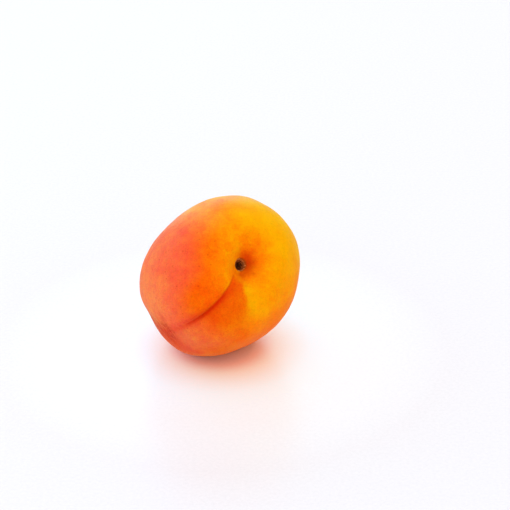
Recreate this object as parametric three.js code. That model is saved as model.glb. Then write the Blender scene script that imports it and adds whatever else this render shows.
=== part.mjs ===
// A ripe apricot, picked without its stalk, lying on its fuller cheek.
//
// The fruit grew as one piece, so it is one closed mesh. Its surface is a sphere's grid of
// rings and meridians whose points are moved out to the skin. The grid runs from the stem
// scar to the dry tip where the flower was, and its first meridian is the suture, the crease
// that joins the two along one side of the fruit.
//
// The fruit's own axes start at its centre: +Z towards the stem, +X towards the side that
// the suture is on, +Y towards the cheek that the fruit lies on. A turn, a lean and another
// turn then lay it down, and what is low on the cheek is pressed to a small flat spot.
// Millimetres, +Z up, origin under the middle of the fruit on the surface that it lies on.
import * as THREE from 'three';
import { mergeVertices } from 'three/addons/utils/BufferGeometryUtils.js';

const { degToRad, lerp, smoothstep } = THREE.MathUtils;

// Grid
const MERIDIANS = 92;
const RINGS = 60;
const SUTURE_CROWDING = 0.72; // how much closer the meridians run near the suture
const END_CROWDING = 0.9; // how much closer the rings run near the scar and the tip

// Body, measured from its centre
const GIRTH_RADIUS = 21.76;
const GIRTH_OVAL = 1.56; // half the difference between the oval girth's two half widths
const GIRTH_OVAL_TURN = degToRad(12.7);
const STEM_SHOULDER = 22.4; // reach towards the stem before the cavity sinks it
const TIP_REACH = 24.4;
const STEM_FULLNESS = 2.3; // 2 is an ellipse, more is squarer
const TIP_FULLNESS = 2.0;
// Slow swells round the girth that keep it from being a true oval
const GIRTH_SWELLS = [
  { count: 3, height: 0.1, turn: degToRad(-15) },
  { count: 4, height: -0.16, turn: degToRad(-5) },
  { count: 5, height: -0.2, turn: degToRad(-1) },
  { count: 6, height: -0.11, turn: degToRad(15) },
];

// Where the suture starts at the stem, and how far the tip is bent aside from the stem's axis
const SUTURE_START = degToRad(13.6);
const TIP_BEND = degToRad(38.8);
const TIP_BEND_SIDE = degToRad(-31.5);
// Slow sway of the suture's line from side to side, which changes past the girth
const SWAY = { near: degToRad(2.25), far: degToRad(-1.7), crest: degToRad(13.5), waves: 2.75 };
const SWAY_CHANGES = { from: degToRad(90), to: degToRad(140) };

// Suture: a broad valley with a sharp crease in it, steep on one side and gentle on the other
const VALLEY = { depth: 1.0, halfWidth: 4.6, farHalfWidth: 5.6 };
const VALLEY_WIDENS = { from: degToRad(72), to: degToRad(112) };
const VALLEY_END = { from: degToRad(150), fade: degToRad(17) };
const CREASE_STEEP = { width: 0.85, openWidth: 2.2, power: 1.5 };
const CREASE_GENTLE = { width: 2.6, openWidth: 3.0, power: 1.2 };
const CREASE_DEPTH = { sharp: 0.95, open: 0.4 };
const CREASE_RISE = { from: degToRad(2), to: degToRad(40) };
const CREASE_OPENS = { from: degToRad(60), to: degToRad(105) }; // turns to a soft furrow
const CREASE_FADE = { from: degToRad(70), to: degToRad(104) };
const LIP_SWELL = { height: 0.16, at: -7.5, halfWidth: 4.5 };

// Cavity that the stalk stood in, and the scar that it left
const CAVITY = { depth: 5.7, halfWidth: 5.0, power: 1.5, stretch: 1.12, turn: degToRad(30) };
const BACK_FURROW = { depth: 0.45, halfWidth: 3.2, at: degToRad(-140), from: 3, to: 15 };
const SCAR = { depth: 1.7, floorRadius: 1.3, wallRadius: 1.72 };
const SCAR_LIP = { height: 0.22, radius: 1.95, halfWidth: 0.36 };
// The scar sits a little beside the stem's axis, and the first rings of the grid follow it
const SCAR_PLACE = { x: 0.29, y: -0.5 };
const SCAR_FOLLOWED = { height: 21.4, from: degToRad(5), to: degToRad(24) };

// Dry tip in a shallow dimple
const TIP_DIMPLE = { depth: 0.5, halfWidth: 3.6 };
const TIP_POINT = { height: 0.75, halfWidth: 0.75 };

// Resting pose and the flat spot
const STEM_LEAN = degToRad(54.4);
const ROLL = degToRad(199.6);
const HEADING = degToRad(27);
const CHEEK_SWELL = { height: 1.79, spread: degToRad(26), lean: degToRad(21.7), heading: degToRad(17.7) };
const FLAT_SINK = 0.7; // how far the lowest point is pressed up
const FLAT_EDGE = 0.25; // half the height over which the flat spot's edge is rounded

const SKIN_COLOR = 0xf58a24;
const SKIN_ROUGHNESS = 0.55;

/** Rotation that lays the fruit down, from its own axes to the resting frame. */
function restingPose() {
  return new THREE.Matrix4()
    .makeRotationZ(HEADING)
    .multiply(new THREE.Matrix4().makeRotationX(STEM_LEAN))
    .multiply(new THREE.Matrix4().makeRotationZ(ROLL));
}

/** Middle of the swell under the cheek, as a direction in the fruit's own axes. */
function cheekSwellDirection(pose) {
  const { lean, heading } = CHEEK_SWELL;
  const inRest = new THREE.Vector3(
    Math.sin(lean) * Math.cos(heading),
    Math.sin(lean) * Math.sin(heading),
    -Math.cos(lean),
  );
  return inRest.applyMatrix4(pose.clone().transpose());
}

/** A hump or hollow one unit high that falls off on both sides of zero. */
function bell(distance, halfWidth) {
  return Math.exp(-((distance / halfWidth) ** 2));
}

/** Half width of the body across the stem's axis, in the direction `around`. */
function girth(around) {
  let radius = GIRTH_RADIUS + GIRTH_OVAL * Math.cos(2 * (around - GIRTH_OVAL_TURN));
  for (const { count, height, turn } of GIRTH_SWELLS) {
    radius += height * Math.cos(count * (around - turn));
  }
  return radius;
}

/** Azimuth of the suture round the stem's axis, before the tip end is bent aside. */
function sutureAzimuth(fromStem) {
  const reach = lerp(SWAY.near, SWAY.far, smoothstep(fromStem, SWAY_CHANGES.from, SWAY_CHANGES.to));
  return SUTURE_START + reach * Math.cos((fromStem - SWAY.crest) * SWAY.waves);
}

/** Direction of a grid point, round the scar at one end and the bent tip at the other. */
function gridDirection(fromStem, fromSuture) {
  const around = fromSuture + sutureAzimuth(fromStem);
  const direction = new THREE.Vector3().setFromSphericalCoords(1, fromStem, around);
  direction.set(direction.z, direction.x, direction.y);
  const bendAxis = new THREE.Vector3(Math.sin(TIP_BEND_SIDE), -Math.cos(TIP_BEND_SIDE), 0);
  const bend = (TIP_BEND * (1 - Math.cos(fromStem))) / 2;
  direction.applyAxisAngle(bendAxis, bend);
  const follow = 1 - smoothstep(fromStem, SCAR_FOLLOWED.from, SCAR_FOLLOWED.to);
  direction.x += (follow * SCAR_PLACE.x) / SCAR_FOLLOWED.height;
  direction.y += (follow * SCAR_PLACE.y) / SCAR_FOLLOWED.height;
  return direction.normalize();
}

/** Distance from the centre to the plain body, before the suture and the cavity. */
function bodyRadius(direction, swellDirection) {
  const across = Math.hypot(direction.x, direction.y);
  const around = Math.atan2(direction.y, direction.x);
  const reach = direction.z > 0 ? STEM_SHOULDER : TIP_REACH;
  const fullness = lerp(TIP_FULLNESS, STEM_FULLNESS, smoothstep(direction.z, -1, 1));
  const term = (across / girth(around)) ** fullness + (Math.abs(direction.z) / reach) ** fullness;
  const fromSwell = direction.angleTo(swellDirection);
  return term ** (-1 / fullness) + CHEEK_SWELL.height * bell(fromSwell, CHEEK_SWELL.spread);
}

/** Depth of the crease at `aside` mm from the suture's line. */
function creaseDepth(fromStem, aside) {
  const opened = smoothstep(fromStem, CREASE_OPENS.from, CREASE_OPENS.to);
  const { width, openWidth, power } = aside < 0 ? CREASE_STEEP : CREASE_GENTLE;
  const reach = Math.abs(aside) / lerp(width, openWidth, opened);
  const profile = Math.exp(-(reach ** lerp(power, 2, opened)));
  const rise = smoothstep(fromStem, CREASE_RISE.from, CREASE_RISE.to);
  const fade = 1 - smoothstep(fromStem, CREASE_FADE.from, CREASE_FADE.to);
  return lerp(CREASE_DEPTH.sharp, CREASE_DEPTH.open, opened) * rise * fade * profile;
}

/** How far the suture moves the skin in or out. */
function sutureRelief(fromStem, aside) {
  const pastEnd = Math.max(0, fromStem - VALLEY_END.from);
  const widened = smoothstep(fromStem, VALLEY_WIDENS.from, VALLEY_WIDENS.to);
  const halfWidth = lerp(VALLEY.halfWidth, VALLEY.farHalfWidth, widened);
  const valley = VALLEY.depth * bell(aside, halfWidth) * bell(pastEnd, VALLEY_END.fade);
  const lip = LIP_SWELL.height * bell(aside - LIP_SWELL.at, LIP_SWELL.halfWidth);
  return lip * Math.sin(fromStem) ** 2 - valley - creaseDepth(fromStem, aside);
}

/** How far the dry tip and its dimple move the skin, at `away` mm from the tip. */
function tipRelief(away) {
  const dimple = TIP_DIMPLE.depth * bell(away, TIP_DIMPLE.halfWidth);
  return TIP_POINT.height * bell(away, TIP_POINT.halfWidth) - dimple;
}

/** How far the stem's cavity, its back furrow and the scar drop the skin along the stem's axis. */
function stemDrop(x, y) {
  const across = Math.hypot(x, y);
  const around = Math.atan2(y, x);
  const along = Math.cos(around - CAVITY.turn) * across;
  const sideways = Math.sin(around - CAVITY.turn) * across;
  const reach = Math.hypot(along / CAVITY.stretch, sideways * CAVITY.stretch);
  const cavity = CAVITY.depth * Math.exp(-((reach / CAVITY.halfWidth) ** CAVITY.power));

  const furrowSide = Math.sin(around - BACK_FURROW.at) * across;
  const onFurrow = Math.max(0, Math.cos(around - BACK_FURROW.at)) ** 2;
  const furrowStart = smoothstep(across, 0, BACK_FURROW.from);
  const furrowEnd = 1 - smoothstep(across, BACK_FURROW.from, BACK_FURROW.to);
  const furrow = BACK_FURROW.depth * onFurrow * furrowStart * furrowEnd;

  const fromScar = Math.hypot(x - SCAR_PLACE.x, y - SCAR_PLACE.y);
  const hole = SCAR.depth * (1 - smoothstep(fromScar, SCAR.floorRadius, SCAR.wallRadius));
  const lip = SCAR_LIP.height * bell(fromScar - SCAR_LIP.radius, SCAR_LIP.halfWidth);
  return cavity + furrow * bell(furrowSide, BACK_FURROW.halfWidth) + hole - lip;
}

/** Point of the skin in the fruit's own axes. */
function skinPoint(fromStem, fromSuture, swellDirection) {
  const direction = gridDirection(fromStem, fromSuture);
  const around = Math.atan2(direction.y, direction.x);
  const aside = fromSuture * girth(around) * Math.sin(fromStem);
  const awayFromTip = (Math.PI - fromStem) * TIP_REACH;
  const body = bodyRadius(direction, swellDirection);
  const radius = body + sutureRelief(fromStem, aside) + tipRelief(awayFromTip);
  const point = direction.multiplyScalar(radius);
  if (point.z > 0) {
    point.z -= stemDrop(point.x, point.y);
  }
  return point;
}

/** Angle of a ring from the stem, with the rings closer together at both ends. */
function ringAngle(ring) {
  const share = ring / RINGS;
  const crowding = (END_CROWDING * Math.sin(2 * Math.PI * share)) / (2 * Math.PI);
  return Math.PI * (share - crowding);
}

/** Angle of a meridian from the suture, -PI to PI, closer together at the suture. */
function meridianAngle(meridian) {
  const even = (2 * Math.PI * meridian) / MERIDIANS - Math.PI;
  return even - SUTURE_CROWDING * Math.sin(even);
}

/** Height after what is below the surface has been pressed flat, with a rounded edge. */
function pressedHeight(height) {
  if (height > FLAT_EDGE) {
    return height;
  }
  return height < -FLAT_EDGE ? 0 : (height + FLAT_EDGE) ** 2 / (4 * FLAT_EDGE);
}

/** The whole skin, laid down, pressed flat below and centred over the origin. */
function apricotGeometry() {
  const grid = new THREE.SphereGeometry(1, MERIDIANS, RINGS);
  grid.deleteAttribute('normal');
  grid.deleteAttribute('uv');
  const positions = grid.getAttribute('position');
  const pose = restingPose();
  const swellDirection = cheekSwellDirection(pose);
  for (let ring = 0; ring <= RINGS; ring += 1) {
    for (let meridian = 0; meridian <= MERIDIANS; meridian += 1) {
      const fromSuture = meridianAngle(meridian % MERIDIANS);
      const point = skinPoint(ringAngle(ring), fromSuture, swellDirection).applyMatrix4(pose);
      positions.setXYZ(ring * (MERIDIANS + 1) + meridian, point.x, point.y, point.z);
    }
  }
  grid.computeBoundingBox();
  const pressedTo = grid.boundingBox.min.z + FLAT_SINK;
  for (let i = 0; i < positions.count; i += 1) {
    positions.setZ(i, pressedHeight(positions.getZ(i) - pressedTo));
  }
  grid.computeBoundingBox();
  const middle = grid.boundingBox.getCenter(new THREE.Vector3());
  grid.translate(-middle.x, -middle.y, 0);
  const skin = mergeVertices(grid);
  skin.computeVertexNormals();
  return skin;
}

const skinMaterial = new THREE.MeshStandardMaterial({
  color: SKIN_COLOR,
  roughness: SKIN_ROUGHNESS,
  metalness: 0,
});

const apricot = new THREE.Mesh(apricotGeometry(), skinMaterial);
apricot.name = 'apricot';

const part = new THREE.Group();
part.add(apricot);

export default part;
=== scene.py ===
"""A ripe apricot, finished for close looks: downy blushed skin, suture, stalk scar and dry tip.

The skin is sculpted from a sphere by the same form as the solid that it stands for, with finer
rings and meridians and with the relief that only shows close up. Lengths in the classes are
millimetres in the fruit's own axes: +Z towards the stem, +X towards the side that the suture is
on, +Y towards the cheek that the fruit lies on. Finished meshes are in metres.
"""

import logging
import math
from dataclasses import dataclass, replace
from enum import Enum

import bpy
import numpy as np
from mathutils import Matrix, Vector


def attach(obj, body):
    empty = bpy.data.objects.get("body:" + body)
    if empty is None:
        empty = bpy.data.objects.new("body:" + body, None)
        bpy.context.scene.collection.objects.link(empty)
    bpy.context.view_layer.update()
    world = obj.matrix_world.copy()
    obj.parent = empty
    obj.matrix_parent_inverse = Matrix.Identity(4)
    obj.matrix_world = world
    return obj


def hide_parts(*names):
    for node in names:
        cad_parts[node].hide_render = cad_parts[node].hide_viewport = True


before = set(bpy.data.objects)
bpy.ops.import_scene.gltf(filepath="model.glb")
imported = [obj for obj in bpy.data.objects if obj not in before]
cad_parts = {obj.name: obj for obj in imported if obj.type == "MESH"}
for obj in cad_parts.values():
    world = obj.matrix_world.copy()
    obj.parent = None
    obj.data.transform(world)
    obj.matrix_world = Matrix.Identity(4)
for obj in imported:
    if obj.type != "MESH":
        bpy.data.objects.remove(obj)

LOG = logging.getLogger("apricot")
MM = 0.001
# The middle of the stalk's scar, beside the fruit's axis, in millimetres.
SCAR_PLACE = (0.29, -0.5)
# A small step, in millimetres, that keeps off the pole, where no direction is defined.
NEAR_POLE = 1e-3


def smoothstep(value: np.ndarray, low: float | np.ndarray, high: float | np.ndarray) -> np.ndarray:
    """Return 0 below `low`, 1 above `high`, and a smooth climb between."""
    share = np.clip((value - low) / (high - low), 0.0, 1.0)
    return share * share * (3.0 - 2.0 * share)


def bell(distance: np.ndarray, half_width: float | np.ndarray) -> np.ndarray:
    """Return a hump one unit high that falls off on both sides of zero."""
    return np.exp(-((distance / half_width) ** 2))


def lerp(start: float | np.ndarray, end: float | np.ndarray, share: np.ndarray) -> np.ndarray:
    """Return the value `share` of the way from `start` to `end`."""
    return start + (end - start) * share


def turned_from(around: np.ndarray, middle: float) -> np.ndarray:
    """Return how far each azimuth is from a middle one, from -180 to 180 degrees."""
    return (around - middle + 180.0) % 360.0 - 180.0


def rotation(axis: str, degrees: float) -> np.ndarray:
    """Return the 3 by 3 matrix of a turn about one axis."""
    return np.array(Matrix.Rotation(math.radians(degrees), 3, axis))


def angles(points: np.ndarray) -> tuple[np.ndarray, np.ndarray]:
    """Return each point's angles from the stem and round it, in degrees.

    Args:
        points: Places in the fruit's own axes, one row each.

    Returns:
        The two angles of each row.
    """
    polar = np.arctan2(np.hypot(points[:, 0], points[:, 1]), points[:, 2])
    around = np.arctan2(points[:, 1], points[:, 0])
    return np.degrees(polar), np.degrees(around)


@dataclass(frozen=True)
class Band:
    """A stretch of values that rises from nothing to full and falls off again."""

    rises: tuple[float, float]
    falls: tuple[float, float]

    def at(self, value: np.ndarray) -> np.ndarray:
        """Return how far inside the stretch each value is, from 0 to 1."""
        return smoothstep(value, *self.rises) * (1.0 - smoothstep(value, *self.falls))


@dataclass(frozen=True)
class Spot:
    """One soft patch: its middle round and out from the stem, its half widths, its strength.

    `around` and `wide` are degrees. `out` and `long` are degrees from the stem for the patches of
    the blush, and millimetres from the scar's middle for the patches of painted shade in the cavity.
    """

    around: float
    out: float
    wide: float
    long: float
    strength: float

    def at(self, out: np.ndarray, around: np.ndarray) -> np.ndarray:
        """Return the patch's strength at each place, with `around` in degrees."""
        sideways = bell(turned_from(around, self.around), self.wide)
        return self.strength * sideways * bell(out - self.out, self.long)


@dataclass(frozen=True)
class Unevenness:
    """Smooth lumps in space, summed from plane waves with seeded directions.

    Attributes:
        wavelength: Typical distance between two lumps.
        height: Typical height of a lump.
        seed: Seed of the waves' directions and phases.
        waves: Number of waves in the sum.
        spread: Shares of the usual wave number that the waves are drawn from.
    """

    wavelength: float
    height: float
    seed: int
    waves: int = 28
    spread: tuple[float, float] = (0.7, 1.4)

    def at(self, points: np.ndarray) -> np.ndarray:
        """Return the lumps' height at each point.

        Args:
            points: Places in space, one row each.

        Returns:
            One height for each row.
        """
        draw = np.random.default_rng(self.seed)
        directions = draw.normal(size=(self.waves, 3))
        directions /= np.linalg.norm(directions, axis=1, keepdims=True)
        numbers = 2.0 * math.pi / self.wavelength * draw.uniform(*self.spread, self.waves)
        phases = draw.uniform(0.0, 2.0 * math.pi, self.waves)
        total = np.zeros(len(points))
        for direction, number, phase in zip(directions, numbers, phases):
            total += np.sin(points @ direction * number + phase)
        return self.height * total * math.sqrt(2.0 / self.waves)


@dataclass(frozen=True)
class Swell:
    """One slow wave round the girth: how many, how high and how far turned."""

    count: int
    height: float
    turn: float


@dataclass(frozen=True)
class Body:
    """The plain body of the fruit, before its suture and its cavity."""

    girth_radius: float = 21.76
    swells: tuple[Swell, ...] = (
        Swell(2, 1.56, 12.7),
        Swell(3, 0.1, -15.0),
        Swell(4, -0.16, -5.0),
        Swell(5, -0.2, -1.0),
        Swell(6, -0.11, 15.0),
    )
    stem_shoulder: float = 22.4
    tip_reach: float = 24.4
    stem_fullness: float = 2.3
    tip_fullness: float = 2.0
    suture_start: float = 13.6
    tip_bend: float = 38.8
    tip_bend_side: float = -31.5
    sway_near: float = 2.25
    sway_far: float = -1.7
    sway_crest: float = 13.5
    sway_waves: float = 2.75
    sway_changes: tuple[float, float] = (90.0, 140.0)
    cheek_height: float = 1.79
    cheek_spread: float = 26.0
    pole_height: float = 21.4
    scar_followed: tuple[float, float] = (5.0, 24.0)

    def girth(self, around: np.ndarray) -> np.ndarray:
        """Return the half width across the stem's axis, in the direction `around`.

        Args:
            around: Directions round the stem's axis, in radians.

        Returns:
            One half width for each.
        """
        radius = np.full_like(around, self.girth_radius)
        for swell in self.swells:
            radius += swell.height * np.cos(swell.count * (around - math.radians(swell.turn)))
        return radius

    def suture_azimuth(self, from_stem: np.ndarray) -> np.ndarray:
        """Return the suture's azimuth round the stem's axis, before the tip is bent aside.

        Args:
            from_stem: Angles from the stem, in radians.

        Returns:
            One azimuth for each, in radians.
        """
        degrees = np.degrees(from_stem)
        reach = lerp(self.sway_near, self.sway_far, smoothstep(degrees, *self.sway_changes))
        sway = reach * np.cos(np.radians((degrees - self.sway_crest) * self.sway_waves))
        return np.radians(self.suture_start + sway)

    def directions(self, from_stem: np.ndarray, from_suture: np.ndarray) -> np.ndarray:
        """Return the grid's directions, round the scar at one end and the bent tip at the other.

        Args:
            from_stem: Angle of each ring from the stem, in radians.
            from_suture: Angle of each meridian from the suture, in radians.

        Returns:
            Unit vectors, one row for each grid point.
        """
        around = from_suture + self.suture_azimuth(from_stem)
        across = np.sin(from_stem)
        straight = np.stack([across * np.cos(around), across * np.sin(around), np.cos(from_stem)], 1)
        side = math.radians(self.tip_bend_side)
        axis = np.array([math.sin(side), -math.cos(side), 0.0])
        bend = (math.radians(self.tip_bend) * (1.0 - np.cos(from_stem)) / 2.0)[:, None]
        along = (straight @ axis)[:, None] * axis
        across_axis = np.cross(axis, straight)
        bent = straight * np.cos(bend) + across_axis * np.sin(bend) + along * (1.0 - np.cos(bend))
        follow = 1.0 - smoothstep(np.degrees(from_stem), *self.scar_followed)
        bent[:, :2] += follow[:, None] * np.array(SCAR_PLACE) / self.pole_height
        return bent / np.linalg.norm(bent, axis=1, keepdims=True)

    def radius(self, directions: np.ndarray, cheek: np.ndarray) -> np.ndarray:
        """Return the distance from the centre to the plain body.

        Args:
            directions: Unit vectors, one row each.
            cheek: Unit vector to the middle of the swell that the fruit lies on.

        Returns:
            One distance for each row.
        """
        across = np.hypot(directions[:, 0], directions[:, 1])
        around = np.arctan2(directions[:, 1], directions[:, 0])
        rise = directions[:, 2]
        reach = np.where(rise > 0.0, self.stem_shoulder, self.tip_reach)
        fullness = lerp(self.tip_fullness, self.stem_fullness, smoothstep(rise, -1.0, 1.0))
        term = (across / self.girth(around)) ** fullness + (np.abs(rise) / reach) ** fullness
        from_cheek = np.degrees(np.arccos(np.clip(directions @ cheek, -1.0, 1.0)))
        return term ** (-1.0 / fullness) + self.cheek_height * bell(from_cheek, self.cheek_spread)


@dataclass(frozen=True)
class Suture:
    """The seam from stem to tip: a broad valley, a crease, a fine line and its puckers."""

    valley_depth: float = 1.0
    valley_half_width: float = 4.6
    valley_far_half_width: float = 5.6
    valley_widens: tuple[float, float] = (72.0, 112.0)
    valley_end: float = 150.0
    valley_fade: float = 17.0
    lip_height: float = 0.16
    lip_at: float = -7.5
    lip_half_width: float = 4.5
    sharp_depth: float = 0.95
    open_depth: float = 0.4
    steep_width: float = 0.85
    steep_open_width: float = 2.2
    steep_power: float = 1.5
    gentle_width: float = 2.6
    gentle_open_width: float = 3.0
    gentle_power: float = 1.2
    crease_rises: tuple[float, float] = (2.0, 40.0)
    opens: tuple[float, float] = (60.0, 105.0)
    fades: tuple[float, float] = (70.0, 104.0)
    line_depth: float = 0.07
    line_half_width: float = 0.3
    line_near: Band = Band((6.0, 14.0), (58.0, 90.0))
    line_far: Band = Band((146.0, 158.0), (166.0, 176.0))
    line_far_share: float = 0.55
    brow_height: float = 0.07
    brow_at: float = -1.05
    brow_half_width: float = 0.5
    brow_rises: tuple[float, float] = (8.0, 30.0)
    pucker_depth: float = 0.035
    pucker_spacing: float = 2.1
    pucker_reach: float = 2.4
    pucker_gap: float = 0.5
    pucker_slant: float = 0.5
    pucker_wander: float = 1.7
    pucker_wander_rate: float = 0.61
    puckered: Band = Band((14.0, 30.0), (130.0, 160.0))
    mean_radius: float = 22.0

    def opened(self, from_stem: np.ndarray) -> np.ndarray:
        """Return how far the crease has turned to a soft furrow, from 0 to 1."""
        return smoothstep(from_stem, *self.opens)

    def crease(self, from_stem: np.ndarray, aside: np.ndarray) -> np.ndarray:
        """Return the crease's depth, steep on one side and gentle on the other.

        Args:
            from_stem: Angle from the stem, in degrees.
            aside: Distance from the suture's line.

        Returns:
            One depth for each point.
        """
        opened = self.opened(from_stem)
        steep = lerp(self.steep_width, self.steep_open_width, opened)
        gentle = lerp(self.gentle_width, self.gentle_open_width, opened)
        reach = np.abs(aside) / np.where(aside < 0.0, steep, gentle)
        power = lerp(np.where(aside < 0.0, self.steep_power, self.gentle_power), 2.0, opened)
        ends = smoothstep(from_stem, *self.crease_rises) * (1.0 - smoothstep(from_stem, *self.fades))
        return lerp(self.sharp_depth, self.open_depth, opened) * ends * np.exp(-(reach**power))

    def line(self, from_stem: np.ndarray, aside: np.ndarray) -> np.ndarray:
        """Return how much of the fine groove each point has, from 0 to 1."""
        far_end = self.line_far_share * self.line_far.at(from_stem)
        return (self.line_near.at(from_stem) + far_end) * bell(aside, self.line_half_width)

    def puckers(self, from_stem: np.ndarray, aside: np.ndarray) -> np.ndarray:
        """Return the height of the small puckers that the seam draws the skin into.

        Args:
            from_stem: Angle of each point from the stem, in degrees.
            aside: Distance of each point from the suture's line.

        Returns:
            One height for each point.
        """
        along = np.radians(from_stem) * self.mean_radius
        turn = 2.0 * math.pi * along / self.pucker_spacing
        turn += self.pucker_wander * np.sin(along * self.pucker_wander_rate) - self.pucker_slant * aside
        beside = bell(aside, self.pucker_reach) * (1.0 - bell(aside, self.pucker_gap))
        return self.pucker_depth * np.sin(turn) * beside * self.puckered.at(from_stem)

    def relief(self, from_stem: np.ndarray, aside: np.ndarray) -> np.ndarray:
        """Return how far the suture moves the skin out, negative where it is a hollow.

        Args:
            from_stem: Angle from the stem, in degrees.
            aside: Distance from the suture's line.

        Returns:
            One height for each point.
        """
        past_end = np.maximum(0.0, from_stem - self.valley_end)
        widened = smoothstep(from_stem, *self.valley_widens)
        half_width = lerp(self.valley_half_width, self.valley_far_half_width, widened)
        valley = self.valley_depth * bell(aside, half_width) * bell(past_end, self.valley_fade)
        lip = self.lip_height * bell(aside - self.lip_at, self.lip_half_width)
        brow = self.brow_height * bell(aside - self.brow_at, self.brow_half_width)
        brow *= (1.0 - self.opened(from_stem)) * smoothstep(from_stem, *self.brow_rises)
        raised = lip * np.sin(np.radians(from_stem)) ** 2 + brow + self.puckers(from_stem, aside)
        fine = self.line_depth * self.line(from_stem, aside)
        return raised - valley - self.crease(from_stem, aside) - fine


@dataclass(frozen=True)
class SeamColor:
    """What the seam does to the skin's colour: a red crease, partly painted shade, a brown groove, a
    rosy far end.

    Widths are distances from the suture's line. Stretches along it are degrees from the stem.
    """

    softens: tuple[float, float] = (34.0, 62.0)
    peak: tuple[float, float] = (0.25, 0.05)
    upper_width: tuple[float, float] = (0.3, 1.6)
    upper_power: float = 1.3
    lower_width: tuple[float, float] = (1.9, 1.1)
    narrows: tuple[float, float] = (20.0, 34.0)
    narrows_again: tuple[float, float] = (42.0, 54.0)
    narrowing: float = 0.2
    least: float = 0.12
    gain: float = 0.84
    gains: tuple[float, float] = (16.0, 38.0)
    loss: float = 0.56
    loses: tuple[float, float] = (50.0, 90.0)
    red_along: Band = Band((5.0, 9.0), (112.0, 150.0))
    unbrowned: Band = Band((24.0, 38.0), (120.0, 146.0))
    unbrowned_share: float = 0.8
    rosy_rises: tuple[float, float] = (94.0, 112.0)
    rosy_thins: tuple[float, float] = (140.0, 172.0)
    rosy_thinning: float = 0.5
    rosy_at: float = 0.4
    rosy_half_width: float = 4.6

    def brown(self, from_stem: np.ndarray) -> np.ndarray:
        """Return how brown the fine groove is: near the stem and again near the tip."""
        return 1.0 - self.unbrowned_share * self.unbrowned.at(from_stem)

    def red_and_shade(self, from_stem: np.ndarray, aside: np.ndarray) -> np.ndarray:
        """Return how much red gathers in the crease, from 0 to 1: the skin's own red and painted shade
        of the crease and the slope below it.

        Args:
            from_stem: Angle from the stem, in degrees.
            aside: Distance from the suture's line.

        Returns:
            One amount for each point: a sharp upper edge that softens away from the stem.
        """
        softened = smoothstep(from_stem, *self.softens)
        peak = lerp(*self.peak, softened)
        above = np.maximum(peak - aside, 0.0) / lerp(*self.upper_width, softened)
        reach = lerp(*self.lower_width, smoothstep(from_stem, *self.narrows))
        reach -= self.narrowing * smoothstep(from_stem, *self.narrows_again)
        below = bell(np.maximum(aside - peak, 0.0), reach)
        along = self.least + self.gain * smoothstep(from_stem, *self.gains)
        along -= self.loss * smoothstep(from_stem, *self.loses)
        along *= self.red_along.at(from_stem)
        return along * np.where(aside < peak, np.exp(-(above**self.upper_power)), below)

    def far_end(self, from_stem: np.ndarray, aside: np.ndarray) -> np.ndarray:
        """Return how rosy each point is round the far end of the suture, from 0 to 1.

        Args:
            from_stem: Angle of each point from the stem, in degrees.
            aside: Distance of each point from the suture's line.

        Returns:
            One amount for each point.
        """
        along = smoothstep(from_stem, *self.rosy_rises)
        along *= 1.0 - self.rosy_thinning * smoothstep(from_stem, *self.rosy_thins)
        return along * bell(aside - self.rosy_at, self.rosy_half_width)


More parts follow.
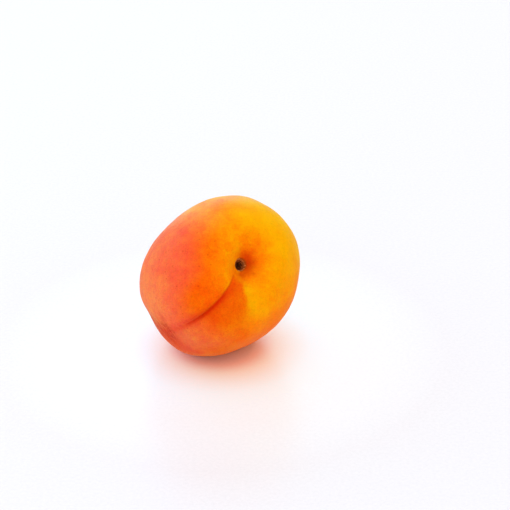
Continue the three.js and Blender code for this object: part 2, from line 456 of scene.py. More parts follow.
@dataclass(frozen=True)
class StemEnd:
    """The cavity that the stalk stood in, with its back furrow and the pit of the scar."""

    cavity_depth: float = 5.7
    cavity_half_width: float = 5.0
    cavity_power: float = 1.5
    cavity_stretch: float = 1.12
    cavity_turn: float = 30.0
    furrow_depth: float = 0.45
    furrow_half_width: float = 3.2
    furrow_at: float = -140.0
    furrow_from: float = 3.0
    furrow_to: float = 15.0
    pit_depth: float = 1.7
    pit_floor_radius: float = 1.3
    pit_wall_radius: float = 1.72
    lip_height: float = 0.22
    lip_radius: float = 1.95
    lip_half_width: float = 0.36
    corky_edge: tuple[float, float] = (1.62, 1.95)
    # Painted shade on the cavity's wall: its shadiest side, how far it reaches past the scar, its share
    # on the least shaded side, and darker patches.
    shadiest_side: float = 150.0
    shade_reach: float = 1.9
    least_shade: float = 0.05
    scar_radius: float = 1.7
    shade_patches: tuple[Spot, ...] = (
        Spot(54.0, 2.9, 16.0, 0.8, 0.42),
        Spot(103.0, 4.0, 8.0, 0.6, 0.3),
        Spot(-20.0, 2.4, 12.0, 0.7, 0.2),
    )

    def from_scar(self, x: np.ndarray, y: np.ndarray) -> np.ndarray:
        """Return the distance from the scar's middle, seen along the stem's axis."""
        return np.hypot(x - SCAR_PLACE[0], y - SCAR_PLACE[1])

    def drop(self, x: np.ndarray, y: np.ndarray) -> np.ndarray:
        """Return how far the stem end drops the skin along the stem's axis.

        Args:
            x: Distance towards the suture's side.
            y: Distance towards the resting cheek.

        Returns:
            One drop for each point.
        """
        across = np.hypot(x, y)
        around = np.arctan2(y, x)
        from_long = around - math.radians(self.cavity_turn)
        along = np.cos(from_long) * across / self.cavity_stretch
        sideways = np.sin(from_long) * across * self.cavity_stretch
        reach = np.hypot(along, sideways) / self.cavity_half_width
        cavity = self.cavity_depth * np.exp(-(reach**self.cavity_power))

        from_furrow = around - math.radians(self.furrow_at)
        furrow = np.maximum(0.0, np.cos(from_furrow)) ** 2 * smoothstep(across, 0.0, self.furrow_from)
        furrow *= 1.0 - smoothstep(across, self.furrow_from, self.furrow_to)
        furrow *= self.furrow_depth * bell(np.sin(from_furrow) * across, self.furrow_half_width)

        away = self.from_scar(x, y)
        pit = self.pit_depth * (1.0 - smoothstep(away, self.pit_floor_radius, self.pit_wall_radius))
        lip = self.lip_height * bell(away - self.lip_radius, self.lip_half_width)
        return cavity + furrow + pit - lip

    def shaded(self, x: np.ndarray, y: np.ndarray) -> np.ndarray:
        """Return how much painted shade each point of the cavity's wall gets, a deep orange red, from 0
        to 1.

        Args:
            x: Distance towards the suture's side.
            y: Distance towards the resting cheek.

        Returns:
            One amount for each point.
        """
        away = self.from_scar(x, y)
        around = np.arctan2(y - SCAR_PLACE[1], x - SCAR_PLACE[0])
        side = 0.5 + 0.5 * np.cos(around - math.radians(self.shadiest_side))
        shade = lerp(self.least_shade, 1.0, side)
        shade *= bell(np.maximum(away - self.scar_radius, 0.0), self.shade_reach)
        shade += sum(shade_patch.at(away, np.degrees(around)) for shade_patch in self.shade_patches)
        return np.minimum(shade, 1.0)


@dataclass(frozen=True)
class Tip:
    """The dry point where the flower was, in a shallow dimple."""

    dimple_depth: float = 0.5
    dimple_half_width: float = 3.6
    point_height: float = 0.75
    point_half_width: float = 0.75
    dry_half_width: float = 0.9

    def relief(self, away: np.ndarray) -> np.ndarray:
        """Return how far the skin moves out at `away` mm from the tip."""
        point = self.point_height * bell(away, self.point_half_width)
        return point - self.dimple_depth * bell(away, self.dimple_half_width)


@dataclass(frozen=True)
class RestingPose:
    """How the fruit lies, and the flat spot that it lies on."""

    roll: float = 199.6
    stem_lean: float = 54.4
    heading: float = 27.0
    cheek_lean: float = 21.7
    cheek_heading: float = 17.7
    flat_sink: float = 0.7
    flat_edge: float = 0.25

    def matrix(self) -> np.ndarray:
        """Return the turn from the fruit's own axes to the resting frame."""
        return rotation("Z", self.heading) @ rotation("X", self.stem_lean) @ rotation("Z", self.roll)

    def cheek(self) -> np.ndarray:
        """Return the direction, in the fruit's own axes, of the swell that it lies on.

        Returns:
            A unit vector.
        """
        lean = math.radians(self.cheek_lean)
        heading = math.radians(self.cheek_heading)
        low = [math.sin(lean) * math.cos(heading), math.sin(lean) * math.sin(heading), -math.cos(lean)]
        return self.matrix().T @ np.array(low)

    def pressed(self, height: np.ndarray) -> np.ndarray:
        """Return heights after what is below zero is pressed flat, with a rounded edge.

        Args:
            height: Heights above the surface that it lies on.

        Returns:
            The heights that are left.
        """
        rounded = (height + self.flat_edge) ** 2 / (4.0 * self.flat_edge)
        low = np.where(height < -self.flat_edge, 0.0, rounded)
        return np.where(height > self.flat_edge, height, low)


@dataclass(frozen=True)
class Cheek:
    """The red of the cheek above the suture, which fades into the gold."""

    level: float = 0.57
    around_rises: tuple[float, float] = (-100.0, -60.0)
    polar_rises: tuple[float, float] = (12.0, 39.0)
    thinning: float = 0.12
    thins: tuple[float, float] = (52.0, 75.0)
    flush: float = 0.14
    flush_rises: tuple[float, float] = (-140.0, -106.0)
    spots: tuple[Spot, ...] = (
        Spot(-12.0, 82.0, 17.0, 20.0, -0.26),
        Spot(-18.0, 58.0, 18.0, 16.0, -0.05),
        Spot(-60.0, 86.0, 14.0, 14.0, 0.14),
        Spot(-92.0, 50.0, 20.0, 14.0, 0.09),
        Spot(-54.0, 17.0, 22.0, 6.0, 0.17),
    )

    def at(self, polar: np.ndarray, around: np.ndarray) -> np.ndarray:
        """Return how red each place of the cheek is.

        Args:
            polar: Angle of each place from the stem, in degrees.
            around: Angle of each place round the stem from the suture's side, in degrees.

        Returns:
            One amount for each place.
        """
        level = self.level - self.thinning * smoothstep(polar, *self.thins)
        level += sum(spot.at(polar, around) for spot in self.spots)
        level *= smoothstep(around, *self.around_rises) * smoothstep(polar, *self.polar_rises)
        return self.flush * smoothstep(around, *self.flush_rises) + level


@dataclass(frozen=True)
class Lobe:
    """The stronger red of the lobe below the suture."""

    level: float = 0.74
    polar_rises: tuple[float, float] = (12.0, 18.5)
    thinning: float = 0.22
    thins: tuple[float, float] = (24.0, 46.0)
    spots: tuple[Spot, ...] = (
        Spot(20.0, 70.0, 20.0, 14.0, -0.12),
        Spot(46.0, 76.0, 12.0, 12.0, 0.14),
        Spot(27.0, 63.0, 8.0, 7.0, -0.21),
        Spot(17.0, 84.0, 8.0, 9.0, -0.17),
    )

    def at(self, polar: np.ndarray, around: np.ndarray) -> np.ndarray:
        """Return how red each place of the lobe is.

        Args:
            polar: Angle of each place from the stem, in degrees.
            around: Angle of each place round the stem from the suture's side, in degrees.

        Returns:
            One amount for each place.
        """
        level = self.level - self.thinning * smoothstep(around, *self.thins)
        level += sum(spot.at(polar, around) for spot in self.spots)
        return level * smoothstep(polar, *self.polar_rises)


@dataclass(frozen=True)
class LowSide:
    """The gold that has ripened to orange on the side that the fruit lies on."""

    start: float = 30.0
    start_moves: tuple[tuple[float, tuple[float, float]], ...] = (
        (7.0, (58.0, 78.0)),
        (8.0, (90.0, 130.0)),
    )
    climb: float = 50.0
    most: float = 0.62
    around_falls: tuple[float, float] = (110.0, 174.0)
    spots: tuple[Spot, ...] = (
        Spot(125.0, 48.0, 22.0, 16.0, 0.15),
        Spot(50.0, 80.0, 18.0, 14.0, 0.16),
        Spot(94.0, 28.0, 28.0, 20.0, 0.12),
        Spot(62.0, 8.0, 36.0, 6.0, 0.28),
    )

    def at(self, polar: np.ndarray, around: np.ndarray) -> np.ndarray:
        """Return how far each place of the low side has ripened.

        Args:
            polar: Angle of each place from the stem, in degrees.
            around: Angle of each place round the stem from the suture's side, in degrees.

        Returns:
            One amount for each place.
        """
        start = self.start + sum(move * smoothstep(around, *span) for move, span in self.start_moves)
        level = np.clip((polar - start) / self.climb, 0.0, self.most)
        level *= 1.0 - smoothstep(around, *self.around_falls)
        return level + sum(spot.at(polar, around) for spot in self.spots)


@dataclass(frozen=True)
class StemHaloAndShade:
    """The orange that rings the cavity, with its streak along the back furrow: partly the skin's own
    orange, partly painted shade on the cavity's shaded side.
    """

    strength: float = 0.72
    toward: float = 170.0
    power: float = 1.6
    streak: float = 0.7
    streak_toward: float = -140.0
    streak_width: float = 30.0
    reach: float = 12.0

    def at(self, polar: np.ndarray, around: np.ndarray) -> np.ndarray:
        """Return how much orange, with its painted shade, each place near the stem has.

        Args:
            polar: Angle of each place from the stem, in degrees.
            around: Angle of each place round the stem from the suture's side, in degrees.

        Returns:
            One amount for each place.
        """
        side = 0.5 + 0.5 * np.cos(np.radians(around - self.toward))
        streak = self.streak * bell(turned_from(around, self.streak_toward), self.streak_width)
        return (self.strength * side**self.power + streak) * np.exp(-polar / self.reach)


@dataclass(frozen=True)
class Edging:
    """A narrow change of colour beside the suture, along a part of its length."""

    strength: float
    along: Band
    middle: float
    half_width: float
    around_falls: tuple[float, float] = (50.0, 90.0)

    def at(self, polar: np.ndarray, around: np.ndarray, aside: np.ndarray) -> np.ndarray:
        """Return the change at each place, which stays off the back."""
        front = 1.0 - smoothstep(np.abs(around), *self.around_falls)
        return self.strength * front * self.along.at(polar) * bell(aside - self.middle, self.half_width)


@dataclass(frozen=True)
class RoseAndSheen:
    """The pink that the red turns to away from the stem, with painted sheen of the down: two pale blooms
    along the upper edge, and a share in the pink of the cheek.
    """

    start: float = 27.0
    later_start: float = 18.0
    later_from: tuple[float, float] = (-25.0, 8.0)
    climb: float = 29.0
    wander_share: float = 0.35
    around_rises: tuple[float, float] = (-118.0, -78.0)
    around_falls: tuple[float, float] = (36.0, 62.0)
    falls_sooner: float = 12.0
    sooner_from: tuple[float, float] = (60.0, 76.0)
    fading: float = 0.7
    fades_polar: tuple[float, float] = (76.0, 96.0)
    fades_around: tuple[float, float] = (-5.0, 12.0)
    polar_falls: tuple[float, float] = (125.0, 160.0)
    spots: tuple[Spot, ...] = (
        Spot(-14.0, 80.0, 18.0, 18.0, 0.35),
        Spot(-22.0, 52.0, 18.0, 10.0, -0.2),
        Spot(-75.0, 50.0, 12.0, 9.0, -0.2),
    )
    # Painted sheen: the down's pale glow along the upper and upper left edge.
    sheen_blooms: tuple[Spot, ...] = (
        Spot(-98.0, 88.0, 24.0, 17.0, 1.8),
        Spot(-126.0, 64.0, 26.0, 12.0, 2.4),
    )
    most: float = 5.0

    def at(self, polar: np.ndarray, around: np.ndarray, wander: np.ndarray) -> np.ndarray:
        """Return how rosy each place is, painted sheen included, from 0 to 1.

        Args:
            polar: Angle from the stem, in degrees.
            around: Angle round the stem from the suture's side, in degrees.
            wander: How far the blush wanders at each place.

        Returns:
            One amount for each place.
        """
        start = self.start + self.later_start * smoothstep(around, *self.later_from)
        sooner = self.falls_sooner * smoothstep(polar, *self.sooner_from)
        side = smoothstep(around, *self.around_rises)
        side *= 1.0 - smoothstep(around, self.around_falls[0] - sooner, self.around_falls[1] - sooner)
        fading = smoothstep(polar, *self.fades_polar) * smoothstep(around, *self.fades_around)
        rose_and_sheen = side * smoothstep(polar + self.wander_share * wander, start, start + self.climb)
        rose_and_sheen *= 1.0 - self.fading * fading
        rose_and_sheen *= 1.0 + sum(spot.at(polar, around) for spot in self.spots)
        rose_and_sheen *= 1.0 - smoothstep(polar, *self.polar_falls)
        return (rose_and_sheen + sum(sheen_bloom.at(polar, around) for sheen_bloom in self.sheen_blooms)) / self.most


@dataclass(frozen=True)
class Blush:
    """Where the sun reddened the skin: one cheek, with a sharp edge on its lower side.

    Some of its amounts are painted light and shade: shade on the lower lobe and round the cavity, a
    highlight on the brow of the suture, light on the low side and sheen along the upper edge.

    Places are in degrees, from the stem (`polar`) and round its axis from the suture's side
    (`around`). Amounts run from 0 for the palest gold to 1 for crimson.
    """

    gold: float = 0.08
    cheek: Cheek = Cheek()
    lobe: Lobe = Lobe()
    low_side: LowSide = LowSide()
    halo_and_shade: StemHaloAndShade = StemHaloAndShade()
    rose_and_sheen: RoseAndSheen = RoseAndSheen()
    bottom: float = 0.3
    bottom_rises: tuple[float, float] = (74.0, 98.0)
    bottom_falls: tuple[float, float] = (90.0, 150.0)
    spots: tuple[Spot, ...] = (
        Spot(-155.0, 46.0, 32.0, 18.0, -0.1),
        Spot(180.0, 11.0, 30.0, 8.0, 0.14),
        Spot(30.0, 10.5, 34.0, 5.5, 0.26),
        Spot(-97.0, 13.0, 14.0, 6.0, -0.13),
        Spot(-152.0, 15.0, 12.0, 6.0, 0.06),
        Spot(-100.0, 45.0, 14.0, 10.0, 0.1),
        Spot(-105.0, 61.0, 14.0, 8.0, 0.1),
        Spot(-115.0, 67.0, 12.0, 6.0, -0.14),
        Spot(-108.0, 80.0, 20.0, 10.0, -0.12),
        Spot(-48.0, 84.0, 14.0, 12.0, -0.05),
        Spot(12.0, 48.0, 12.0, 8.0, -0.05),
        Spot(-82.0, 51.0, 14.0, 10.0, 0.09),
        Spot(-68.0, 36.0, 12.0, 9.0, -0.12),
        Spot(-40.0, 84.0, 18.0, 12.0, -0.08),
        Spot(124.0, 27.0, 16.0, 12.0, -0.06),
        Spot(-60.0, 22.0, 12.0, 6.0, 0.08),
        Spot(-6.0, 25.0, 14.0, 8.0, -0.08),
        Spot(-52.0, 74.0, 14.0, 12.0, -0.08),
        Spot(49.0, 51.0, 10.0, 10.0, -0.06),
        Spot(166.0, 28.0, 16.0, 11.0, -0.07),
    )
    # A painted highlight above the suture near the stem, a golden strip where the brow turns to the
    # light, and a red bank above it farther on.
    edgings: tuple[Edging, ...] = (
        Edging(-0.16, Band((14.0, 24.0), (44.0, 62.0)), -0.5, 0.42),
        Edging(0.13, Band((50.0, 60.0), (78.0, 94.0)), -1.2, 1.2),
    )
    edge: float = 64.2
    edge_swing: float = 36.0
    edge_reach: float = 23.0
    edge_softness: tuple[float, float] = (6.0, 12.0)
    edge_softens: tuple[float, float] = (50.0, 76.0)
    cheek_ends: float = 50.0
    over_seam: tuple[float, float] = (-0.8, 1.2)
    seam_falls: tuple[float, float] = (110.0, 140.0)
    wander: Unevenness = Unevenness(15.0, 4.0, seed=11)
    wander_rises: tuple[float, float] = (8.0, 40.0)
    fray: Unevenness = Unevenness(5.0, 1.6, seed=12)
    fray_rises: tuple[float, float] = (14.0, 30.0)
    patches: Unevenness = Unevenness(8.0, 0.035, seed=15)
    patches_rise: tuple[float, float] = (20.0, 45.0)
    tip_level: float = 0.42
    tip_rises: tuple[float, float] = (116.0, 160.0)
    # Painted shade on the lobe below the suture, which faces down.
    lobe_shade_from_seam: tuple[float, float] = (0.0, 1.6)
    lobe_shade_around_falls: tuple[float, float] = (50.0, 76.0)
    lobe_shade_along: Band = Band((6.0, 14.0), (100.0, 130.0))
    lobe_shade_gap: float = 0.5
    lobe_shade_gap_at: float = 55.0
    lobe_shade_gap_half_width: float = 14.0
    # Where painted light lifts the red of the side that the fruit lies on.
    lit_around: Band = Band((40.0, 70.0), (130.0, 175.0))
    lit_polar: Band = Band((24.0, 44.0), (90.0, 130.0))
    marks: tuple[Spot, ...] = (
        Spot(11.0, 86.5, 3.6, 2.8, 0.65),
        Spot(17.0, 92.0, 2.4, 2.6, 0.7),
        Spot(5.5, 83.5, 3.0, 2.2, 0.45),
        Spot(-1.0, 80.0, 4.0, 1.6, 0.3),
        Spot(98.0, 66.0, 2.0, 1.6, 0.4),
    )

    def amount(self, points: np.ndarray, aside: np.ndarray) -> np.ndarray:
        """Return how red each point is.

        Args:
            points: Places on the skin in the fruit's own axes.
            aside: Distance of each point from the suture's line.

        Returns:
            One amount for each point.
        """
        polar, around = angles(points)
        below = smoothstep(aside, *self.over_seam) * (1.0 - smoothstep(np.abs(around), *self.seam_falls))
        bottom = self.bottom * smoothstep(polar, *self.bottom_rises)
        lobe = self.lobe.at(polar, around) + bottom
        ripened = self.low_side.at(polar, around)
        ripened += bottom * (1.0 - smoothstep(around, *self.bottom_falls))
        low = lerp(ripened, lobe, self.inside_edge(points, polar, around))
        wandering = around + self.wander.at(points) * smoothstep(polar, *self.wander_rises)
        cheek = lerp(self.cheek.at(polar, wandering), lobe, below)
        upper = np.where(aside > 0.0, lerp(cheek, low, below), cheek)
        # The halo adds orange with painted shade round the cavity.
        total = self.gold + np.where(around > self.cheek_ends, low, upper) + self.halo_and_shade.at(polar, around)
        total += self.patches.at(points) * smoothstep(polar, *self.patches_rise)
        total += sum(spot.at(polar, around) for spot in self.spots)
        total += sum(edging.at(polar, around, aside) for edging in self.edgings)
        return np.clip(lerp(total, self.tip_level, smoothstep(polar, *self.tip_rises)), 0.0, 1.0)

    def inside_edge(self, points: np.ndarray, polar: np.ndarray, around: np.ndarray) -> np.ndarray:
        """Return how far each point is inside the lobe's sharp edge, from 0 to 1.

        Args:
            points: Places on the skin in the fruit's own axes.
            polar: Their angles from the stem, in degrees.
            around: Their angles round the stem, in degrees.

        Returns:
            One amount for each point.
        """
        frayed = around + self.fray.at(points) * smoothstep(polar, *self.fray_rises)
        edge = self.edge - self.edge_swing * np.exp(-polar / self.edge_reach)
        softness = lerp(*self.edge_softness, smoothstep(polar, *self.edge_softens))
        return 1.0 - smoothstep(frayed, edge - softness, edge + softness)

    def lobe_shade(self, points: np.ndarray, aside: np.ndarray) -> np.ndarray:
        """Return where painted shade darkens the lobe below the suture, which faces down, from 0 to 1.

        Args:
            points: Places on the skin in the fruit's own axes.
            aside: Distance of each point from the suture's line.

        Returns:
            One amount for each point.
        """
        polar, around = angles(points)
        below = smoothstep(aside, *self.lobe_shade_from_seam)
        below *= 1.0 - smoothstep(np.abs(around), *self.lobe_shade_around_falls)
        below *= 1.0 - self.lobe_shade_gap * bell(polar - self.lobe_shade_gap_at, self.lobe_shade_gap_half_width)
        return below * self.lobe_shade_along.at(polar)

    def low_side_light(self, points: np.ndarray) -> np.ndarray:
        """Return where painted light lifts the red of the side that the fruit lies on, from 0 to 1."""
        polar, around = angles(points)
        return self.lit_around.at(around) * self.lit_polar.at(polar)

    def rubbed(self, points: np.ndarray) -> np.ndarray:
        """Return the small dark marks rubbed into the skin, from 0 up."""
        polar, around = angles(points)
        return sum(mark.at(polar, around) for mark in self.marks)

    def rosiness_and_sheen(self, points: np.ndarray) -> np.ndarray:
        """Return how far the red turns to pink at each point, painted sheen included, from 0 to 1."""
        return self.rose_and_sheen.at(*angles(points), self.wander.at(points))


@dataclass(frozen=True)
class Placement:
    """Turn and shift from the fruit's own axes to the finished frame, in millimetres."""

    turn: np.ndarray
    shift: np.ndarray

    def place(self, points: np.ndarray) -> np.ndarray:
        """Return the points turned and shifted to where the fruit lies."""
        return points @ self.turn.T + self.shift


def coordinates(piece: bpy.types.Object) -> np.ndarray:
    """Return a mesh's vertices, one row each.

    Args:
        piece: The mesh's object.

    Returns:
        The vertices, in the mesh's own axes.
    """
    flat = np.empty(len(piece.data.vertices) * 3)
    piece.data.vertices.foreach_get("co", flat)
    return flat.reshape(-1, 3)


def move_vertices(piece: bpy.types.Object, points: np.ndarray) -> None:
    """Put a mesh's vertices at new places, given in millimetres."""
    piece.data.vertices.foreach_set("co", (points * MM).ravel())
    piece.data.update()


def paint(piece: bpy.types.Object, name: str, amounts: np.ndarray) -> None:
    """Store one number for each vertex under a name that the finishes read."""
    layer = piece.data.attributes.new(name, "FLOAT", "POINT")
    layer.data.foreach_set("value", amounts.astype(np.float32))


def deselect() -> None:
    """Deselect everything, so that operators act on the next primitive alone."""
    for thing in bpy.context.selected_objects:
        thing.select_set(False)


def named(name: str) -> bpy.types.Object:
    """Give the active object and its mesh a name and return it.

    Args:
        name: The name of the piece.

    Returns:
        The piece's object.
    """
    piece = bpy.context.active_object
    piece.name = name
    piece.data.name = name
    return piece


@dataclass
class Skin:
    """The whole skin, sculpted from a sphere whose rings run from the stem to the tip."""

    body: Body = Body()
    suture: Suture = Suture()
    stem_end: StemEnd = StemEnd()
    tip: Tip = Tip()
    pose: RestingPose = RestingPose()
    seam: SeamColor = SeamColor()
    blush: Blush = Blush()
    lumps: Unevenness = Unevenness(9.0, 0.05, seed=3)
    ripples: Unevenness = Unevenness(2.6, 0.012, seed=4)
    uneven_from_scar: tuple[float, float] = (2.0, 6.0)
    meridians: int = 320
    rings: int = 300
    suture_crowding: float = 0.72
    end_crowding: float = 0.88

    def grid(self, sphere: np.ndarray) -> tuple[np.ndarray, np.ndarray]:
        """Return each vertex's angles from the stem and from the suture, crowded where needed.

        Args:
            sphere: Vertices of the unit sphere.

        Returns:
            Angles from the stem and angles from the suture, in radians.
        """
        even = np.arctan2(np.hypot(sphere[:, 0], sphere[:, 1]), sphere[:, 2])
        from_stem = even - self.end_crowding * np.sin(2.0 * even) / 2.0
        turn = np.arctan2(sphere[:, 1], sphere[:, 0])
        return from_stem, turn - self.suture_crowding * np.sin(turn)

    def away_from_tip(self, from_stem: np.ndarray) -> np.ndarray:
        """Return the distance along the skin from the tip."""
        return (math.pi - from_stem) * self.body.tip_reach

    def shape(self, from_stem: np.ndarray, from_suture: np.ndarray) -> tuple[np.ndarray, np.ndarray]:
        """Return the skin's points in the fruit's own axes and their distance from the suture.

        Args:
            from_stem: Angles from the stem, in radians.
            from_suture: Angles from the suture, in radians.

        Returns:
            The points, and each one's distance from the suture's line.
        """
        directions = self.body.directions(from_stem, from_suture)
        around = np.arctan2(directions[:, 1], directions[:, 0])
        aside = from_suture * self.body.girth(around) * np.sin(from_stem)
        radius = self.body.radius(directions, self.pose.cheek())
        radius += self.suture.relief(np.degrees(from_stem), aside)
        radius += self.tip.relief(self.away_from_tip(from_stem))
        points = directions * radius[:, None]
        open_skin = smoothstep(np.hypot(points[:, 0], points[:, 1]), *self.uneven_from_scar)
        open_skin = np.where(points[:, 2] > 0.0, open_skin, 1.0)
        fine = (self.lumps.at(points) + self.ripples.at(points)) * open_skin
        points += directions * fine[:, None]
        near_stem = points[:, 2] > 0.0
        points[near_stem, 2] -= self.stem_end.drop(points[near_stem, 0], points[near_stem, 1])
        return points, aside

    def build(self) -> tuple[bpy.types.Object, Placement]:
        """Make the skin where the fruit lies.

        Returns:
            The skin, and the placement that its small pieces share.
        """
        deselect()
        bpy.ops.mesh.primitive_uv_sphere_add(segments=self.meridians, ring_count=self.rings, radius=1.0)
        skin = named("skin")
        from_stem, from_suture = self.grid(coordinates(skin))
        own, aside = self.shape(from_stem, from_suture)
        turned = own @ self.pose.matrix().T
        pressed_to = turned[:, 2].min() + self.pose.flat_sink
        turned[:, 2] = self.pose.pressed(turned[:, 2] - pressed_to)
        middle = (turned.min(axis=0) + turned.max(axis=0)) / 2.0
        shift = np.array([-middle[0], -middle[1], -pressed_to])
        move_vertices(skin, turned + np.array([shift[0], shift[1], 0.0]))
        self.paint_masks(skin, own, from_stem, aside)
        skin.data.uv_layers[0].name = "OFBake"
        bpy.ops.object.shade_smooth()
        return skin, Placement(self.pose.matrix(), shift)

    def paint_masks(
        self, skin: bpy.types.Object, own: np.ndarray, from_stem: np.ndarray, aside: np.ndarray
    ) -> None:
        """Store the masks that the skin's finish reads.

        Args:
            skin: The skin's object.
            own: Its vertices in the fruit's own axes.
            from_stem: Their angles from the stem, in radians.
            aside: Their distances from the suture's line.
        """
        degrees = np.degrees(from_stem)
        stem_half = own[:, 2] > 0.0
        from_scar = self.stem_end.from_scar(own[:, 0], own[:, 1])
        corky = 1.0 - smoothstep(from_scar, *self.stem_end.corky_edge)
        paint(skin, "blush", self.blush.amount(own, aside))
        # The crease's red, partly painted shade.
        paint(skin, "seam_red_and_shade", self.seam.red_and_shade(degrees, aside))
        paint(skin, "scar_edge", corky * stem_half)
        # Painted shade on the cavity's wall.
        paint(skin, "cavity", self.stem_end.shaded(own[:, 0], own[:, 1]) * stem_half)
        paint(skin, "seam_line", self.suture.line(degrees, aside) * self.seam.brown(degrees))
        # Painted light on the low side.
        paint(skin, "low_side_light", self.blush.low_side_light(own))
        # Painted shade on the lobe below the suture.
        paint(skin, "lobe_shade", self.blush.lobe_shade(own, aside))
        # Pink with painted sheen.
        paint(skin, "rose_and_sheen", self.blush.rosiness_and_sheen(own))
        paint(skin, "tip", bell(self.away_from_tip(from_stem), self.tip.dry_half_width))
        paint(skin, "tip_patch", self.seam.far_end(degrees, aside) + self.blush.rubbed(own))


@dataclass(frozen=True)
class RimStep:
    """One ring of the stalk scar: how wide, and how far above or below the bare cavity."""

    radius: float
    height: float


@dataclass
class StalkScar:
    """The corky scar that the stalk left: a ragged collar with nested rims round a dark pit."""

    steps: tuple[RimStep, ...] = (
        RimStep(1.9, -0.34),
        RimStep(1.76, -0.02),
        RimStep(1.66, 0.06),
        RimStep(1.58, -0.14),
        RimStep(1.53, -0.42),
        RimStep(1.47, -0.38),
        RimStep(1.4, -0.62),
        RimStep(1.36, -0.86),
        RimStep(1.28, -0.8),
        RimStep(1.2, -1.02),
        RimStep(1.12, -1.26),
        RimStep(1.0, -1.2),
        RimStep(0.84, -1.3),
        RimStep(0.64, -1.38),
        RimStep(0.42, -1.3),
        RimStep(0.2, -1.34),
    )
    # Distances from the scar's middle, and how pale the cork is at each of them.
    shades: tuple[tuple[float, ...], ...] = ((0.0, 1.0, 1.25, 1.5, 1.65), (0.1, 0.2, 0.5, 0.8, 1.1))
    around: int = 120
    rag: Unevenness = Unevenness(0.55, 0.05, seed=21)
    grit: Unevenness = Unevenness(0.16, 0.016, seed=22)
    ragged_inside: tuple[float, float] = (1.62, 1.86)
    rough_radius: float = 1.6
    roughened: float = 1.6
    rag_spread: float = 0.5

    def surface(self, across: np.ndarray, around: np.ndarray, skin: Skin) -> np.ndarray:
        """Return points of the skin as it would be without the pit.

        Args:
            across: Distance of each point from the scar's middle.
            around: Direction of each point from the scar's middle, in radians.
            skin: The skin that the scar sits in.

        Returns:
            The points, in the fruit's own axes.
        """
        bare = replace(skin, stem_end=replace(skin.stem_end, pit_depth=0.0, lip_height=0.0))
        return bare.shape(across / skin.body.pole_height, around)[0]

    def build(self, skin: Skin, placement: Placement) -> bpy.types.Object:
        """Make the scar in the bottom of the cavity.

        Args:
            skin: The skin that the scar sits in.
            placement: Where the fruit lies.

        Returns:
            The scar's object.
        """
        deselect()
        first = self.steps[0]
        bpy.ops.mesh.primitive_circle_add(vertices=self.around, radius=first.radius, fill_type="NOTHING")
        scar = named("stalk_scar")
        bpy.ops.object.mode_set(mode="EDIT")
        bpy.ops.mesh.select_all(action="SELECT")
        for outer, inner in zip(self.steps, self.steps[1:]):
            bpy.ops.mesh.extrude_edges_move()
            share = inner.radius / outer.radius
            bpy.ops.transform.resize(value=(share, share, 1.0), center_override=(0.0, 0.0, 0.0))
        bpy.ops.mesh.extrude_edges_move()
        bpy.ops.mesh.merge(type="CENTER")
        bpy.ops.mesh.select_all(action="SELECT")
        bpy.ops.mesh.normals_make_consistent(inside=False)
        bpy.ops.object.mode_set(mode="OBJECT")
        flat = coordinates(scar)
        move_vertices(scar, placement.place(self.relief(flat, skin)))
        across = np.hypot(flat[:, 0], flat[:, 1])
        paint(scar, "depth", np.interp(across, *self.shades))
        bpy.ops.object.shade_smooth()
        return scar

    def relief(self, flat: np.ndarray, skin: Skin) -> np.ndarray:
        """Raise the flat rings to the scar's ragged relief.

        Args:
            flat: The rings' vertices, all at height zero.
            skin: The skin that the scar sits in.

        Returns:
            The vertices in the fruit's own axes.
        """
        radii = [step.radius for step in reversed(self.steps)]
        heights = [step.height for step in reversed(self.steps)]
        across = np.hypot(flat[:, 0], flat[:, 1])
        height = np.interp(across, radii, heights)
        inside = 1.0 - smoothstep(across, *self.ragged_inside)
        rough = np.where(across < self.rough_radius, self.roughened, 1.0)
        height += (self.rag.at(flat) + self.grit.at(flat)) * inside * rough
        spread = 1.0 + self.rag_spread * self.rag.at(flat[:, [1, 0, 2]]) * inside
        own = self.surface(across * spread, np.arctan2(flat[:, 1], flat[:, 0]), skin)
        own[:, 2] += height
        return own


